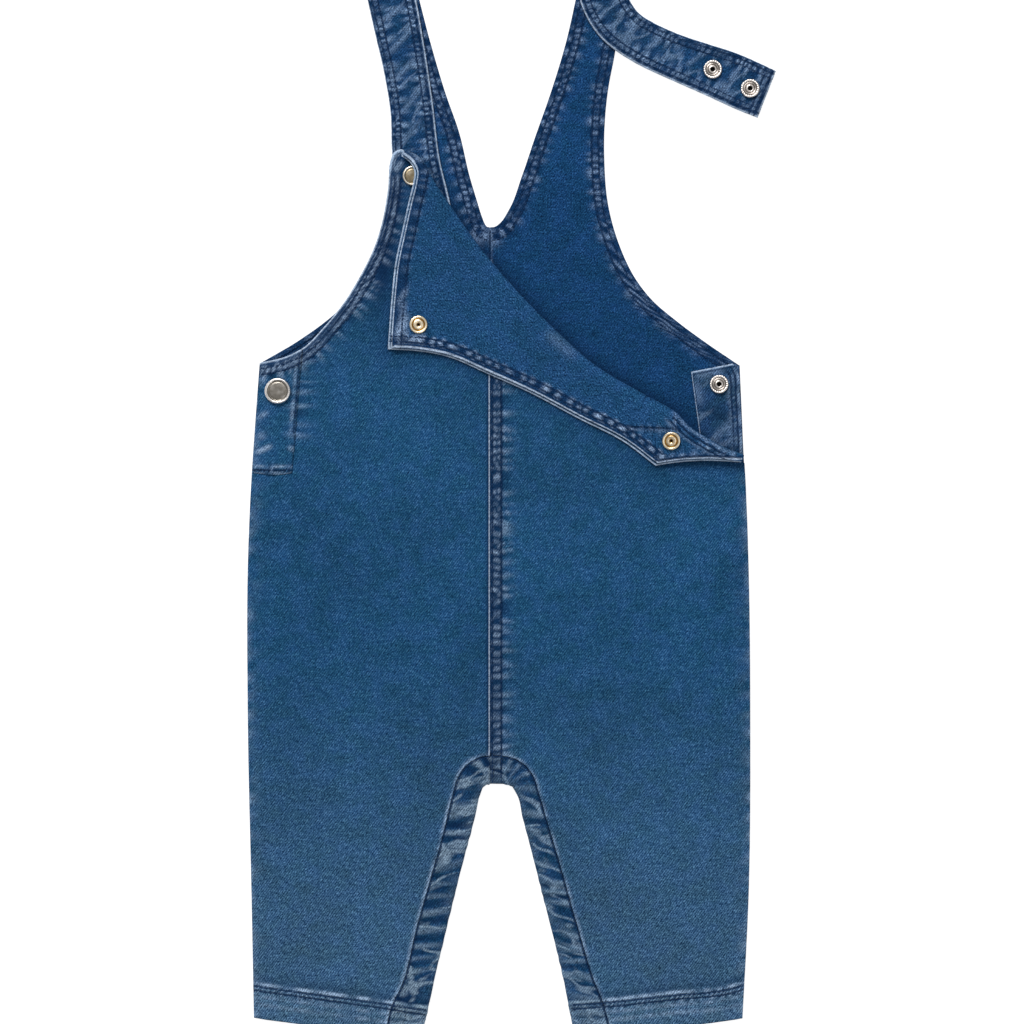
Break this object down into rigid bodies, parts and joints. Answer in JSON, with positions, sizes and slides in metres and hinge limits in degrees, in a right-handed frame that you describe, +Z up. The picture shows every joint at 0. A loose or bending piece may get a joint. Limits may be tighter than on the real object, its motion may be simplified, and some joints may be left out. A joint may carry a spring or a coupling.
{
  "type": "denim overalls",
  "caption": "Baby's denim overalls laid flat, one bib corner unfastened and turned down, one shoulder strap lying free",
  "frame": {"origin": "on the floor below the middle of the whole laid-out garment", "axes": "+X across the garment to the picture's right, +Y from the hems up to the straps, +Z up from the floor"},
  "size_m": [0.2906, 0.5918, 0.014],
  "materials": {
    "denim_face": "indigo stretch denim, right side up, softly washed",
    "denim_reverse": "indigo denim facing, matt",
    "denim_inside": "inside of the back, darker indigo twill",
    "denim_strap": "double denim with worn, puckered stitching",
    "pewter": "antiqued pewter-coloured cap",
    "nickel": "nickel-plated socket",
    "brass": "pale brass ring"
  },
  "bodies": {
    "root": {"back_left": "denim_inside", "back_right": "denim_inside", "back_placket_right": "denim_strap", "inner_leg_left": "denim_face", "inner_leg_right": "denim_face", "strap_left": "denim_strap", "strap_right": "denim_strap", "front_left": "denim_face", "front_right": "denim_face", "front_placket_left": "denim_face", "bib_facing": "denim_reverse", "front_placket_right": "denim_reverse", "snap_cap_side": "pewter", "snap_cap_bib": "brass", "snap_back_bib": "brass", "snap_back_side": "brass", "snap_socket_side": "nickel", "snap_socket_strap_inner": "nickel", "snap_socket_strap_end": "nickel"}
  },
  "joints": []
}
